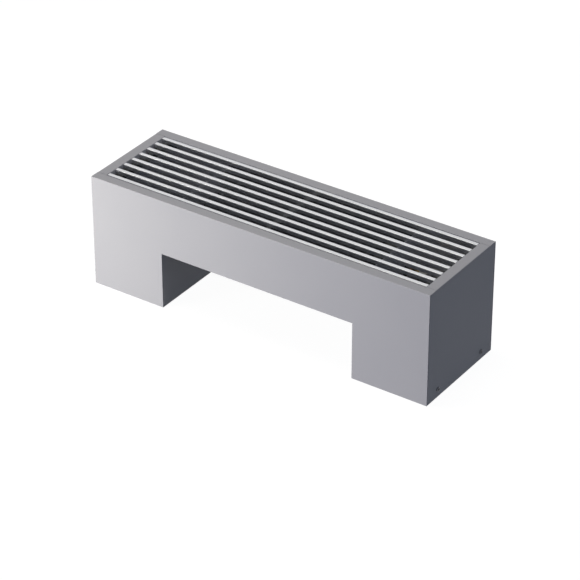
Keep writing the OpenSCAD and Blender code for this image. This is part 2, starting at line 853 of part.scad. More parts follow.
// Air vent screw with a square for its key
module bleed_screw() {
    color("#d0d1d3") translate([tail_start + vent_x, outlet_y, low_z]) {
        translate([0, 0, vent_seat_h + free_gap]) cylinder(r = vent_screw_r, h = vent_h - vent_seat_h);
        translate([-vent_head/2, -vent_head/2, vent_h]) cube(vent_head);
    }
}

front_panel();
rear_panel();
left_side_panel();
right_side_panel();
left_leg_panel();
right_leg_panel();
left_crossbar();
middle_crossbar();
right_crossbar();
grille_screws();
grille_pads();
fin_pack();
left_end_plate();
right_end_plate();
left_heater_shelf();
right_heater_shelf();
heater_screws();
front_air_guide();
rear_air_guide();
left_floor_bracket();
right_floor_bracket();
side_screws();
bracket_nuts();
panel_nuts();
tube_grommets();
supply_tail();
supply_union_nut();
supply_valve_body();
valve_insert();
valve_pin();
valve_cap();
return_tail();
return_union_nut();
return_valve_body();
return_spindle();
return_cap();
bleed_screw();
for (i = [1:bar_count])
    grille_bar(i - 1);
for (i = [1:2*len(crossbar_xs)])
    grille_rest(i - 1);
for (i = [1:hairpin_count])
    hairpin_tube(i - 1);
for (i = [1:hairpin_count - 1])
    return_bend(i - 1);
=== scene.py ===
import json
from math import cos, pi, radians, sin

import bmesh
import bpy
from mathutils import Matrix, Vector


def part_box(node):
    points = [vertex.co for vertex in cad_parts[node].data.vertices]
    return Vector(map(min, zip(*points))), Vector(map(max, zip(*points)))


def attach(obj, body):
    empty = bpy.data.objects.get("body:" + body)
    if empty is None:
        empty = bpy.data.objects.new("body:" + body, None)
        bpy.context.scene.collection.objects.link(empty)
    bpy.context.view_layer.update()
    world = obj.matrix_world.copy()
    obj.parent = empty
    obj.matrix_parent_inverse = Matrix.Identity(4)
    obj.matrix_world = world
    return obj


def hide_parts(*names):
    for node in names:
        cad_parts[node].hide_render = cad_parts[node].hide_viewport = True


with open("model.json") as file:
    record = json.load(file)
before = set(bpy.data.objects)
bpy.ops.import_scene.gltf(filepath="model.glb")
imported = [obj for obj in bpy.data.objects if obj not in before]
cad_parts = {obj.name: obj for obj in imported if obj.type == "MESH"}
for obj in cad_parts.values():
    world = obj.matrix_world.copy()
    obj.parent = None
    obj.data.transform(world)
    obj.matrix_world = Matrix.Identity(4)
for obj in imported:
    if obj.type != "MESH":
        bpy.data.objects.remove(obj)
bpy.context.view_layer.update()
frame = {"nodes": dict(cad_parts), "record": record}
scene = bpy.context.scene
mm = 0.001
print("frame loaded with", len(frame["nodes"]), "nodes")


# Tones are written as they look on a screen, 0 to 255
def tone(red, green, blue):
    def toLinear(value):
        value = value / 255
        return value / 12.92 if value <= 0.04045 else ((value + 0.055) / 1.055) ** 2.4
    return (toLinear(red), toLinear(green), toLinear(blue), 1.0)


def startMaterial(name):
    material = bpy.data.materials.new(name)
    material.use_nodes = True
    return material, material.node_tree, material.node_tree.nodes["Principled BSDF"]


def setAll(made, settings):
    for key, value in settings.items():
        setattr(made, key, value)


def addNode(tree, kind, inputs=None, **settings):
    made = tree.nodes.new(kind)
    setAll(made, settings)
    for key, value in (inputs or {}).items():
        made.inputs[key].default_value = value
    return made


# Noise in the piece's own metres: stretch gives its waves per metre along X, Y and Z
def addNoise(tree, stretch, detail=3.0, rough=0.55):
    where = addNode(tree, "ShaderNodeTexCoord")
    mapping = addNode(tree, "ShaderNodeMapping", {"Scale": stretch})
    noise = addNode(tree, "ShaderNodeTexNoise", {"Scale": 1.0, "Detail": detail, "Roughness": rough})
    tree.links.new(where.outputs["Object"], mapping.inputs["Vector"])
    tree.links.new(mapping.outputs["Vector"], noise.inputs["Vector"])
    return noise.outputs["Fac"]


def addRange(tree, source, low, high, start=0.3, end=0.7):
    spread = addNode(tree, "ShaderNodeMapRange", {
        "From Min": start, "From Max": end, "To Min": low, "To Max": high})
    tree.links.new(source, spread.inputs["Value"])
    return spread.outputs["Result"]


# Links a socket to an input, or sets the input to a constant value
def feed(tree, target, given):
    if isinstance(given, bpy.types.NodeSocket):
        tree.links.new(given, target)
    else:
        target.default_value = given


def mixTones(tree, factor, first, second):
    mix = addNode(tree, "ShaderNodeMix", data_type="RGBA")
    tree.links.new(factor, mix.inputs[0])
    feed(tree, mix.inputs[6], first)
    feed(tree, mix.inputs[7], second)
    return mix.outputs[2]


def mixValues(tree, factor, first, second):
    mix = addNode(tree, "ShaderNodeMix", data_type="FLOAT")
    tree.links.new(factor, mix.inputs[0])
    feed(tree, mix.inputs[2], first)
    feed(tree, mix.inputs[3], second)
    return mix.outputs[0]


def addMath(tree, operation, *terms):
    made = addNode(tree, "ShaderNodeMath", operation=operation)
    for number, term in enumerate(terms):
        feed(tree, made.inputs[number], term)
    return made.outputs[0]


# The piece's own X, Y and Z in metres
def ownAxes(tree):
    where = addNode(tree, "ShaderNodeTexCoord")
    axes = addNode(tree, "ShaderNodeSeparateXYZ")
    tree.links.new(where.outputs["Object"], axes.inputs[0])
    return axes.outputs


def addBump(tree, height, strength, distance, under=None):
    bump = addNode(tree, "ShaderNodeBump", {"Strength": strength, "Distance": distance})
    tree.links.new(height, bump.inputs["Height"])
    if under is not None:
        tree.links.new(under, bump.inputs["Normal"])
    return bump.outputs["Normal"]


# Powder coat: cloudy tone, fine orange peel and a faint sparkle of pigment
paintLook = {
    "grey": (174, 174, 179), "cloud": (170, 170, 176), "grain": (181, 181, 185),
    "roughLow": 0.42, "roughHigh": 0.54, "gloss": 0.15, "cloudPerMetre": 5,
    "peelPerMetre": 420, "peelDepth": 0.05 * mm, "grainPerMetre": 2600, "grainDepth": 0.02 * mm,
    "grainFrom": 0.35, "grainTo": 0.75, "bump": 0.5,
}


def powderCoat(name, look):
    material, tree, surface = startMaterial(name)
    cloud = addRange(tree, addNoise(tree, (look["cloudPerMetre"],) * 3, 2.0), 0, 1)
    peel = addNoise(tree, (look["peelPerMetre"],) * 3, 1.0)
    grain = addNoise(tree, (look["grainPerMetre"],) * 3, 2.0, 0.7)
    base = mixTones(tree, cloud, tone(*look["grey"]), tone(*look["cloud"]))
    speckles = addRange(tree, grain, 1, 0, look["grainFrom"], look["grainTo"])
    tree.links.new(mixTones(tree, speckles, tone(*look["grain"]), base), surface.inputs["Base Color"])
    tree.links.new(addRange(tree, peel, look["roughLow"], look["roughHigh"]), surface.inputs["Roughness"])
    surface.inputs["Specular IOR Level"].default_value = look["gloss"]
    fine = addBump(tree, grain, look["bump"], look["grainDepth"])
    tree.links.new(addBump(tree, peel, look["bump"], look["peelDepth"], fine), surface.inputs["Normal"])
    return material


# Metal drawn along X or turned along Z: long fine lines in its gloss and its surface
drawnLook = {"alongPerMetre": 7, "acrossPerMetre": 2400, "depth": 0.003 * mm, "bump": 0.35,
             "cloudPerMetre": (18, 60, 60)}


def brushedMetal(name, metal, shade, roughLow, roughHigh, grainAlong="x", metallic=1.0):
    material, tree, surface = startMaterial(name)
    along, across = drawnLook["alongPerMetre"], drawnLook["acrossPerMetre"]
    spread = {"x": (along, across, across), "z": (across, across, along)}[grainAlong]
    lines = addNoise(tree, spread, 4.0, 0.7)
    cloud = addNoise(tree, drawnLook["cloudPerMetre"], 3.0)
    base = mixTones(tree, addRange(tree, cloud, 0, 1), tone(*metal), tone(*shade))
    tree.links.new(base, surface.inputs["Base Color"])
    surface.inputs["Metallic"].default_value = metallic
    tree.links.new(addRange(tree, lines, roughLow, roughHigh), surface.inputs["Roughness"])
    tree.links.new(addBump(tree, lines, drawnLook["bump"], drawnLook["depth"]), surface.inputs["Normal"])
    return material


# Cast, plated or turned metal: soft mottling, with darker stains in patches of their own
mottledLook = {"depth": 0.03 * mm, "bump": 0.3, "mottlesPerPatch": 6, "stainFrom": 0.45, "stainTo": 0.75}


def mottledMetal(name, metal, stain, roughLow, roughHigh, perMetre, stains=0.5):
    material, tree, surface = startMaterial(name)
    mottle = addNoise(tree, (perMetre,) * 3, 4.0, 0.6)
    patches = addNoise(tree, (perMetre / mottledLook["mottlesPerPatch"],) * 3, 3.0, 0.6)
    spots = addRange(tree, patches, 0, stains, mottledLook["stainFrom"], mottledLook["stainTo"])
    tree.links.new(mixTones(tree, spots, tone(*metal), tone(*stain)), surface.inputs["Base Color"])
    surface.inputs["Metallic"].default_value = 1.0
    tree.links.new(addRange(tree, mottle, roughLow, roughHigh), surface.inputs["Roughness"])
    tree.links.new(addBump(tree, mottle, mottledLook["bump"], mottledLook["depth"]),
                   surface.inputs["Normal"])
    return material


# Black coat, plastic or rubber: fine grain, and a thin film of dust in patches
coatLook = {"dustPerMetre": 22, "dustFrom": 0.4, "dustTo": 0.8, "dustShare": 0.6, "bump": 0.35}


def plainCoat(name, colour, dust, roughLow, roughHigh, gloss, perMetre=900, depth=0.04 * mm):
    material, tree, surface = startMaterial(name)
    grain = addNoise(tree, (perMetre,) * 3, 3.0, 0.6)
    film = addRange(tree, addNoise(tree, (coatLook["dustPerMetre"],) * 3, 4.0, 0.6),
                    0, coatLook["dustShare"], coatLook["dustFrom"], coatLook["dustTo"])
    tree.links.new(mixTones(tree, film, tone(*colour), tone(*dust)), surface.inputs["Base Color"])
    tree.links.new(addRange(tree, grain, roughLow, roughHigh), surface.inputs["Roughness"])
    surface.inputs["Specular IOR Level"].default_value = gloss
    tree.links.new(addBump(tree, grain, coatLook["bump"], depth), surface.inputs["Normal"])
    return material


# Copper dip-coated with the fins as far as bareFrom on X, and bare from bareTo on, near the solder
copperLook = {"mottlePerMetre": 220, "patchesPerMetre": 40, "stains": 0.6, "bareFrom": 0.2405,
              "bareTo": 0.2415, "coatRough": (0.55, 0.70), "bareRough": (0.48, 0.60)}


def coatedCopper(name, metal, stain, coat, coatDust):
    material, tree, surface = startMaterial(name)
    mottle = addNoise(tree, (copperLook["mottlePerMetre"],) * 3, 4.0, 0.6)
    patches = addNoise(tree, (copperLook["patchesPerMetre"],) * 3, 3.0, 0.6)
    spots = addRange(tree, patches, 0, copperLook["stains"], mottledLook["stainFrom"],
                     mottledLook["stainTo"])
    film = addRange(tree, patches, 0, coatLook["dustShare"], coatLook["dustFrom"], coatLook["dustTo"])
    copper = mixTones(tree, spots, tone(*metal), tone(*stain))
    black = mixTones(tree, film, tone(*coat), tone(*coatDust))
    bare = addRange(tree, ownAxes(tree)["X"], 0, 1, copperLook["bareFrom"], copperLook["bareTo"])
    tree.links.new(mixTones(tree, bare, black, copper), surface.inputs["Base Color"])
    tree.links.new(bare, surface.inputs["Metallic"])
    rough = mixValues(tree, bare, addRange(tree, mottle, *copperLook["coatRough"]),
                      addRange(tree, mottle, *copperLook["bareRough"]))
    tree.links.new(rough, surface.inputs["Roughness"])
    tree.links.new(addBump(tree, mottle, mottledLook["bump"], mottledLook["depth"]),
                   surface.inputs["Normal"])
    return material


finishes = {
    "casing_paint": powderCoat("greyPowderCoat", paintLook),
    "bar_aluminium": brushedMetal("anodisedBars", (219, 220, 223), (213, 214, 217), 0.18, 0.26,
                                  metallic=0.72),
    "zinc_steel": mottledMetal("zincPlate", (168, 172, 178), (142, 144, 143), 0.38, 0.54, 180),
    "black_steel": plainCoat("blackSheet", (52, 53, 55), (66, 66, 67), 0.55, 0.70, 0.30),
    "black_fins": plainCoat("blackFins", (66, 67, 70), (78, 78, 80), 0.55, 0.72, 0.28, 600),
    "coated_channels": plainCoat("darkChannels", (40, 41, 43), (54, 54, 55), 0.5, 0.65, 0.3),
    # Copper, brass and nickel are toned well darker than the bare metals: painted shade, which keeps them
    # and their glints dim inside the casing
    "copper_tube": coatedCopper("coatedCopper", (146, 95, 72), (108, 70, 53), (40, 39, 39), (54, 52, 51)),
    "brass": mottledMetal("turnedBrass", (118, 101, 70), (92, 77, 51), 0.54, 0.66, 500),
    "nickel_brass": mottledMetal("nickelPlate", (116, 117, 120), (98, 98, 96), 0.54, 0.66, 420,
                                 stains=0.35),
    "steel_pin": brushedMetal("groundSteel", (214, 216, 219), (200, 202, 205), 0.16, 0.26,
                              grainAlong="z"),
    "dark_screws": mottledMetal("darkZinc", (74, 76, 82), (52, 54, 59), 0.34, 0.48, 900),
    "cap_plastic": plainCoat("mouldedCap", (30, 30, 31), (42, 42, 43), 0.38, 0.50, 0.40, 1600, 0.02 * mm),
    "rubber": plainCoat("softRubber", (24, 24, 24), (40, 40, 39), 0.75, 0.90, 0.20),
}
slotOf = {part["node"]: part["material_slot"] for part in frame["record"]["subparts"]}
bodyOf = {node: body for body, nodes in frame["record"]["behaviour"]["bodies"].items() for node in nodes}
for name, piece in frame["nodes"].items():
    piece.data.materials.clear()
    piece.data.materials.append(finishes[slotOf[name]])
print("finishes ready:", len(finishes))


# Blender's operators leave edges and faces in another order each run, which exact cuts depend on.
# Sorted by place, every run gives the same mesh.
def sortParts(bm):
    for parts, key in ((bm.verts, lambda vert: tuple(vert.co)),
                       (bm.edges, lambda edge: sorted(vert.index for vert in edge.verts)),
                       (bm.faces, lambda face: sorted(vert.index for vert in face.verts))):
        rank = {part: number for number, part in enumerate(sorted(parts, key=key))}
        parts.sort(key=rank.get)
        parts.index_update()


def linkMesh(bm, name):
    sortParts(bm)
    mesh = bpy.data.meshes.new(name)
    bm.to_mesh(mesh)
    bm.free()
    made = bpy.data.objects.new(name, mesh)
    scene.collection.objects.link(made)
    return made


def applyModifiers(piece):
    evaluated = piece.evaluated_get(bpy.context.evaluated_depsgraph_get())
    made = bpy.data.meshes.new_from_object(evaluated)
    piece.modifiers.clear()
    piece.data = made
    made.name = piece.name


def addModifier(piece, name, kind, **settings):
    setAll(piece.modifiers.new(name, kind), settings)


# Corners that turn by more than this are softened
softFrom = radians(50)


# Turns a bmesh into a finished piece: wall, joined and cut shapes, soft edges, then sharp edges by
# angle. It rides on its body and takes the place of the CAD nodes named in stands.
def finishPiece(bm, name, body, slot, stands, thickness=0.0, edge=0.0, edgeSteps=2, sharp=35,
                joins=(), cuts=()):
    piece = linkMesh(bm, name)
    if thickness:
        addModifier(piece, "wall", "SOLIDIFY", thickness=thickness, offset=-1.0, use_even_offset=True,
                    use_quality_normals=True)
    tools = [("UNION", linkMesh(shape, "joined")) for shape in joins]
    tools += [("DIFFERENCE", linkMesh(shape, "cutter")) for shape in cuts]
    for operation, tool in tools:
        addModifier(piece, operation.lower(), "BOOLEAN", operation=operation, object=tool, solver="EXACT")
    if edge:
        addModifier(piece, "edges", "BEVEL", width=edge, segments=edgeSteps, limit_method="ANGLE",
                    angle_limit=softFrom)
    if thickness or edge or tools:
        applyModifiers(piece)
    for _, tool in tools:
        bpy.data.objects.remove(tool, do_unlink=True)
    piece.data.shade_smooth()
    piece.data.set_sharp_from_angle(angle=radians(sharp))
    addModifier(piece, "even", "WEIGHTED_NORMAL", keep_sharp=True)
    applyModifiers(piece)
    piece.data.materials.clear()
    piece.data.materials.append(finishes[slot])
    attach(piece, body)
    if stands:
        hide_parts(*stands)


# Finishes the piece that stands for one CAD node, on the node's own body and slot.
# Unless it is given a name, the piece for left_end_plate is named leftEndPlate.
def finishNode(bm, node, name=None, **shaping):
    first, *rest = node.split("_")
    name = name or first + "".join(word.capitalize() for word in rest)
    finishPiece(bm, name, bodyOf[node], slotOf[node], [node], **shaping)


def place(bm, verts, matrix):
    bmesh.ops.transform(bm, matrix=matrix, verts=verts)


# A flat sheet in one plane, cut by lines so that flanges can be drawn out of its edges
def flatSheet(width, height, middle, turn, cuts):
    bm = bmesh.new()
    bmesh.ops.create_grid(bm, x_segments=1, y_segments=1, size=0.5)
    place(bm, bm.verts, Matrix.Translation(middle) @ turn @ Matrix.Diagonal((width, height, 1, 1)))
    for point, normal in cuts:
        bmesh.ops.bisect_plane(bm, geom=bm.verts[:] + bm.edges[:] + bm.faces[:],
                               plane_co=point, plane_no=normal)
    return bm


def dropFaces(bm, inside):
    gone = [face for face in bm.faces if inside(face.calc_center_median())]
    bmesh.ops.delete(bm, geom=gone, context="FACES")


# Draws a flange out of the open edges that pass the test
def drawFlange(bm, onEdge, way):
    edges = [edge for edge in bm.edges
             if edge.is_boundary and onEdge((edge.verts[0].co + edge.verts[1].co) / 2)]
    made = bmesh.ops.extrude_edge_only(bm, edges=edges)["geom"]
    bmesh.ops.translate(bm, vec=way, verts=[part for part in made if isinstance(part, bmesh.types.BMVert)])


# Edges between two faces that meet at more than the given angle
def cornersOf(bm, degrees):
    return [edge for edge in bm.edges
            if len(edge.link_faces) == 2 and edge.calc_face_angle(0.0) > radians(degrees)]


def roundEdges(bm, edges, radius, steps):
    bmesh.ops.bevel(bm, geom=edges, offset=radius, offset_type="OFFSET", segments=steps, profile=0.5,
                    affect="EDGES", material=-1, clamp_overlap=True)


folds = {"from": 45, "steps": 4, "merge": 0.01 * mm}


# Rounds every fold of a sheet, then turns its faces outwards
def roundFolds(bm, radius, outward):
    roundEdges(bm, cornersOf(bm, folds["from"]), radius, folds["steps"])
    bmesh.ops.remove_doubles(bm, verts=bm.verts, dist=folds["merge"])
    face = max(bm.faces, key=lambda one: one.calc_area())
    if face.normal.dot(outward) < 0:
        bmesh.ops.reverse_faces(bm, faces=bm.faces[:])


# Casing: sizes of its folded sheets; the overall sizes come from the frame's boxes
casing = {
    "edge": 0.35 * mm, "fold": 1.2 * mm, "seam": 0.2 * mm, "rimSeam": 0.55 * mm, "sheet": 2 * mm,
    "lip": 12 * mm, "hem": 22 * mm, "rim": 22 * mm, "flange": 16 * mm,
}
low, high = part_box("front_panel")
halfLength, halfDepth, casingTop = high.x, -low.y, high.z
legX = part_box("right_leg_panel")[0].x
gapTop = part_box("front_air_guide")[0].z - casing["sheet"]
openX = halfLength - casing["rim"]
openY = halfDepth - casing["rim"]
near = 0.01 * mm


def isAt(value, target):
    return abs(value - target) < near


# Front or rear panel: face, rim, lip and lower hem of one folded sheet
def longPanel(node, side):
    faceY = side * halfDepth
    upright = Matrix.Rotation(radians(90), 4, "X")
    across, level = Vector((1, 0, 0)), Vector((0, 0, 1))
    cuts = [((x, 0, 0), across) for x in (-openX, -legX, legX, openX)] + [((0, 0, gapTop), level)]
    bm = flatSheet(2 * halfLength, casingTop, (0, faceY, casingTop / 2), upright, cuts)
    dropFaces(bm, lambda middle: abs(middle.x) < legX and middle.z < gapTop)
    drawFlange(bm, lambda at: isAt(at.z, casingTop), (0, -side * casing["rim"], 0))
    drawFlange(bm, lambda at: isAt(at.y, side * openY) and abs(at.x) < openX, (0, 0, -casing["lip"]))
    drawFlange(bm, lambda at: isAt(at.z, gapTop) and abs(at.x) < legX, (0, -side * casing["hem"], 0))
    roundFolds(bm, casing["fold"], Vector((0, side, 0)))
    finishNode(bm, node, thickness=casing["sheet"], edge=casing["edge"])


longPanel("front_panel", -1)
longPanel("rear_panel", 1)


# Side panel: face, stretch of rim and lip, and the two flanges behind the long panels
def sidePanel(node, side):
    flangeY = halfDepth - casing["sheet"] - casing["seam"]
    rimY = openY - casing["rimSeam"]
    shoulder = casingTop - casing["sheet"] - casing["seam"]
    upright = Matrix.Rotation(radians(90), 4, "Z") @ Matrix.Rotation(radians(90), 4, "X")
    cuts = [((0, y, 0), Vector((0, 1, 0))) for y in (-rimY, rimY)]
    cuts.append(((0, 0, shoulder), Vector((0, 0, 1))))
    bm = flatSheet(2 * flangeY, casingTop, (side * halfLength, 0, casingTop / 2), upright, cuts)
    dropFaces(bm, lambda middle: abs(middle.y) > rimY and middle.z > shoulder)
    drawFlange(bm, lambda at: isAt(abs(at.y), flangeY), (-side * casing["flange"], 0, 0))
    drawFlange(bm, lambda at: isAt(at.z, casingTop), (-side * casing["rim"], 0, 0))
    drawFlange(bm, lambda at: isAt(at.z, casingTop) and isAt(at.x, side * openX), (0, 0, -casing["lip"]))
    roundFolds(bm, casing["fold"], Vector((side, 0, 0)))
    finishNode(bm, node, thickness=casing["sheet"], edge=casing["edge"])


sidePanel("left_side_panel", -1)
sidePanel("right_side_panel", 1)
print("casing panels folded")


def cuboid(middle, size):
    bm = bmesh.new()
    bmesh.ops.create_cube(bm, size=1.0)
    place(bm, bm.verts, Matrix.Translation(middle) @ Matrix.Diagonal((*size, 1)))
    return bm


# Grille bars: drawn flat bars with round top edges and lightly broken ends
bars = {"count": 8, "round": 0.5 * mm, "broken": 0.25 * mm, "steps": 4}


def grilleBar(node):
    low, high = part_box(node)
    bm = cuboid((low + high) / 2, high - low)
    topEdges = [edge for edge in bm.edges
                if all(isAt(vert.co.z, high.z) for vert in edge.verts)
                and isAt(edge.verts[0].co.y, edge.verts[1].co.y)]
    roundEdges(bm, topEdges, bars["round"], bars["steps"])
    finishNode(bm, node, edge=bars["broken"])


for number in range(1, bars["count"] + 1):
    grilleBar(f"grille_bar_{number}")
print("grille bars drawn:", bars["count"])


fluteSharpness = 1.5


def ringEdges(bm, loop):
    return [bm.edges.get(pair) for pair in zip(loop, loop[1:] + loop[:1])]


# A round or six-sided turned shape built ring by ring along an axis.
# Each ring is (place along the axis, radius, width across flats or None, depth of flutes or None).
def turnRings(bm, origin, way, rings, segments=48, closed=False, fluteCount=16):
    turn = Vector((0, 0, 1)).rotation_difference(Vector(way)).to_matrix().to_4x4()
    frameMatrix = Matrix.Translation(origin) @ turn

    def setRing(verts, ring):
        along, radius, flats, flute = (*ring, None, None)[:4]
        for number, vert in enumerate(verts):
            angle = 2 * pi * number / segments
            reach = radius
            if flats:
                reach = min(radius, flats / 2 / cos(angle % (pi / 3) - pi / 6))
            if flute:
                reach -= flute * max(0.0, cos(fluteCount * angle)) ** fluteSharpness
            vert.co = frameMatrix @ Vector((reach * cos(angle), reach * sin(angle), along))

    first = bmesh.ops.create_circle(bm, cap_ends=False, segments=segments, radius=1.0)["verts"]
    loop = first
    setRing(loop, rings[0])
    made = []
    for ring in rings[1:]:
        drawn = bmesh.ops.extrude_edge_only(bm, edges=ringEdges(bm, loop))["geom"]
        made += [part for part in drawn if isinstance(part, bmesh.types.BMFace)]
        fresh = {part for part in drawn if isinstance(part, bmesh.types.BMVert)}
        loop = [next(edge.other_vert(vert) for edge in vert.link_edges if edge.other_vert(vert) in fresh)
                for vert in loop]
        setRing(loop, ring)
    if closed:
        made += bmesh.ops.bridge_loops(bm, edges=ringEdges(bm, first) + ringEdges(bm, loop))["faces"]
    else:
        for ends in (first, loop):
            made += bmesh.ops.edgeloop_fill(bm, edges=ringEdges(bm, ends))["faces"]
    bmesh.ops.recalc_face_normals(bm, faces=made)


# Where a thread's flat crest starts and ends and its root is reached, in shares of its pitch
threadShape = {"crestFrom": 0.35, "crestTo": 0.6, "root": 0.95}


def threadRings(start, end, crest, depth, pitch):
    rings = []
    count = max(1, round((end - start) / pitch))
    step = (end - start) / count
    for number in range(count):
        at = start + number * step
        rings += [(at, crest - depth), (at + threadShape["crestFrom"] * step, crest),
                  (at + threadShape["crestTo"] * step, crest),
                  (at + threadShape["root"] * step, crest - depth)]
    return rings


def turned(origin, way, rings, segments=48, closed=False, fluteCount=16):
    bm = bmesh.new()
    turnRings(bm, origin, way, rings, segments, closed, fluteCount)
    return bm


def scaled(rings):
    return [(ring[0] * mm, ring[1] * mm, *[value and value * mm for value in ring[2:]]) for ring in rings]


copied = {"merge": 0.002 * mm, "flat": 0.5, "from": 40, "steps": 2}


# A merged copy of a CAD node: flat faces joined again and corners lightly broken
def softenedCopy(node, edge):
    bm = bmesh.new()
    bm.from_mesh(frame["nodes"][node].data)
    bmesh.ops.remove_doubles(bm, verts=bm.verts, dist=copied["merge"])
    bmesh.ops.dissolve_limit(bm, angle_limit=radians(copied["flat"]), verts=bm.verts, edges=bm.edges,
                             use_dissolve_boundaries=False)
    roundEdges(bm, cornersOf(bm, copied["from"]), edge, copied["steps"])
    finishNode(bm, node)


# Small fasteners: domed screws, nuts and the welded stud, in millimetres
fasteners = {
    "sideScrew": {"shaft": 2.45, "length": 12, "head": 4.75, "height": 2.4, "socket": 4,
                  "socketDepth": 1.5},
    "smallScrew": {"shaft": 1.95, "head": 3.5, "height": 2.2, "socket": 2.5, "socketDepth": 1.2},
    "barScrew": {"shaft": 1.5, "length": 6.5, "head": 2.75, "height": 1.6, "socket": 2.0,
                 "socketDepth": 0.9},
    "smallNut": {"flats": 7, "height": 3.2, "hole": 2.0},
    "weldNut": {"flats": 10, "height": 5, "hole": 2.5},
    "stud": [(0, 1.95), (8.9, 1.95), (9.6, 1.75), (10, 1.3)],
    "domeSteps": 6, "domeFoot": 0.2, "pointShare": 0.8, "socketShare": 0.66,
}


def cornerRadius(flats):
    return flats / 2 / cos(pi / 6)


# A domed screw whose head sits on the level of its origin
def screwRings(kind, length):
    size, steps, foot = fasteners[kind], fasteners["domeSteps"], fasteners["domeFoot"]
    shaft, head, height = size["shaft"], size["head"], size["height"]
    flat = size["socket"] * fasteners["socketShare"]
    rings = [(-length, shaft * fasteners["pointShare"]), (-length + 0.4, shaft), (-0.05, shaft),
             (0, shaft), (0, head - 0.15), (0.15, head)]
    for step in range(1, steps + 1):
        angle = step / steps * pi / 2
        rings.append((foot * height + (1 - foot) * height * sin(angle), flat + (head - flat) * cos(angle)))
    bottom = height - size["socketDepth"]
    rings += [(height - 0.1, flat, size["socket"]), (bottom, flat, size["socket"]), (bottom - 0.3, 0.2)]
    return scaled(rings)


# A six-sided nut with both faces chamfered, standing on its origin
def nutRings(kind):
    size = fasteners[kind]
    flats, height, hole = size["flats"], size["height"], size["hole"]
    outer = [(0, 0.48 * flats), (0.06 * height, 0.52 * flats), (0.2 * height, cornerRadius(flats)),
             (0.8 * height, cornerRadius(flats)), (0.94 * height, 0.52 * flats), (height, 0.48 * flats)]
    inner = [(height, hole + 0.4), (height - 0.3, hole), (0.3, hole), (0, hole + 0.4)]
    return scaled([(at, radius, flats) for at, radius in outer] + inner)


def point(x, y, z):
    return Vector((x, y, z)) * mm


sides = (-1, 1)
bm = bmesh.new()
low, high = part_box("side_screws")
sideScrewY = high.y / mm - fasteners["sideScrew"]["head"]
sideScrewZ = (low.z + high.z) / 2 / mm
for side in sides:
    for end in sides:
        turnRings(bm, point(side * halfLength / mm, end * sideScrewY, sideScrewZ), (side, 0, 0),
                  screwRings("sideScrew", fasteners["sideScrew"]["length"]), 36)
finishNode(bm, "side_screws")

# Nuts welded behind the tabs of the floor brackets
bm = bmesh.new()
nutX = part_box("bracket_nuts")[1].x / mm - fasteners["weldNut"]["height"]
for side in sides:
    for end in sides:
        turnRings(bm, point(side * nutX, end * sideScrewY, sideScrewZ), (side, 0, 0),
                  nutRings("weldNut"), 24, closed=True)
finishNode(bm, "bracket_nuts")

# Welded studs on the long panels with their nuts: two columns over each leg, three over the rests.
# The nuts of the shelves' screws sit on the far side of the leg panels.
studs = {"fromLeg": 8, "shares": [0.27, 0.86], "fromRestEnd": 12, "shelfY": [-45, 0, 45]}
low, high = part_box("panel_nuts")
nutFlats = fasteners["smallNut"]["flats"]
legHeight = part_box("right_leg_panel")[1].z / mm
studX = [high.x / mm - cornerRadius(nutFlats), legX / mm + studs["fromLeg"]]
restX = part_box("grille_rest_3")[0].x / mm + studs["fromRestEnd"]
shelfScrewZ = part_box("heater_screws")[1].z / mm - fasteners["smallScrew"]["head"]
studPlaces = [(side * x, share * legHeight) for side in sides for x in studX for share in studs["shares"]]
studPlaces += [(x, high.z / mm - nutFlats / 2) for x in (-restX, 0, restX)]
nuts, pins = bmesh.new(), bmesh.new()
nutY = high.y / mm
innerY = halfDepth / mm - casing["sheet"] / mm
for face in sides:
    for x, z in studPlaces:
        turnRings(nuts, point(x, face * nutY, z), (0, -face, 0), nutRings("smallNut"), 24, closed=True)
        turnRings(pins, point(x, face * innerY, z), (0, -face, 0), scaled(fasteners["stud"]), 20)
for side in sides:
    for y in studs["shelfY"]:
        turnRings(nuts, point(side * (legX / mm + casing["sheet"] / mm), y, shelfScrewZ), (side, 0, 0),
                  nutRings("smallNut"), 24, closed=True)
finishNode(nuts, "panel_nuts")
finishPiece(pins, "panelStuds", "casing", "zinc_steel", [])

# Screws that hold the heater: through the shelves into the leg panels, and down through the feet
heaterScrews = {"shelfFace": 226, "footX": 192.8, "footY": 60, "footZ": 132, "shelfLength": 10,
                "footLength": 5}
bm = bmesh.new()
for side in sides:
    for y in studs["shelfY"]:
        turnRings(bm, point(side * heaterScrews["shelfFace"], y, shelfScrewZ), (-side, 0, 0),
                  screwRings("smallScrew", heaterScrews["shelfLength"]), 24)
    for end in sides:
        foot = point(side * heaterScrews["footX"], end * heaterScrews["footY"], heaterScrews["footZ"])
        turnRings(bm, foot, (0, 0, 1), screwRings("smallScrew", heaterScrews["footLength"]), 24)
finishNode(bm, "heater_screws")

# Screws from inside the channels up into the bars
bm = bmesh.new()
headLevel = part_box("grille_screws")[0].z / mm + fasteners["barScrew"]["height"]
for channel in ("left_crossbar", "middle_crossbar", "right_crossbar"):
    low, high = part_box(channel)
    for number in range(1, bars["count"] + 1):
        barLow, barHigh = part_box(f"grille_bar_{number}")
        at = Vector(((low.x + high.x) / 2, (barLow.y + barHigh.y) / 2, headLevel * mm))
        turnRings(bm, at, (0, 0, -1), screwRings("barScrew", fasteners["barScrew"]["length"]), 20)
finishNode(bm, "grille_screws")
print("fasteners turned")


# Leg panels: inner walls of the legs, flanged into them; the right one lets two tubes through
legs = {"port": 11.0, "screwHole": 2.6, "cutFrom": -3, "cutLength": 8, "around": 40}
tailLow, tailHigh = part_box("supply_tail")
tubeY = -(tailLow.y + tailHigh.y) / 2
tubeZ = (tailLow.z + tailHigh.z) / 2


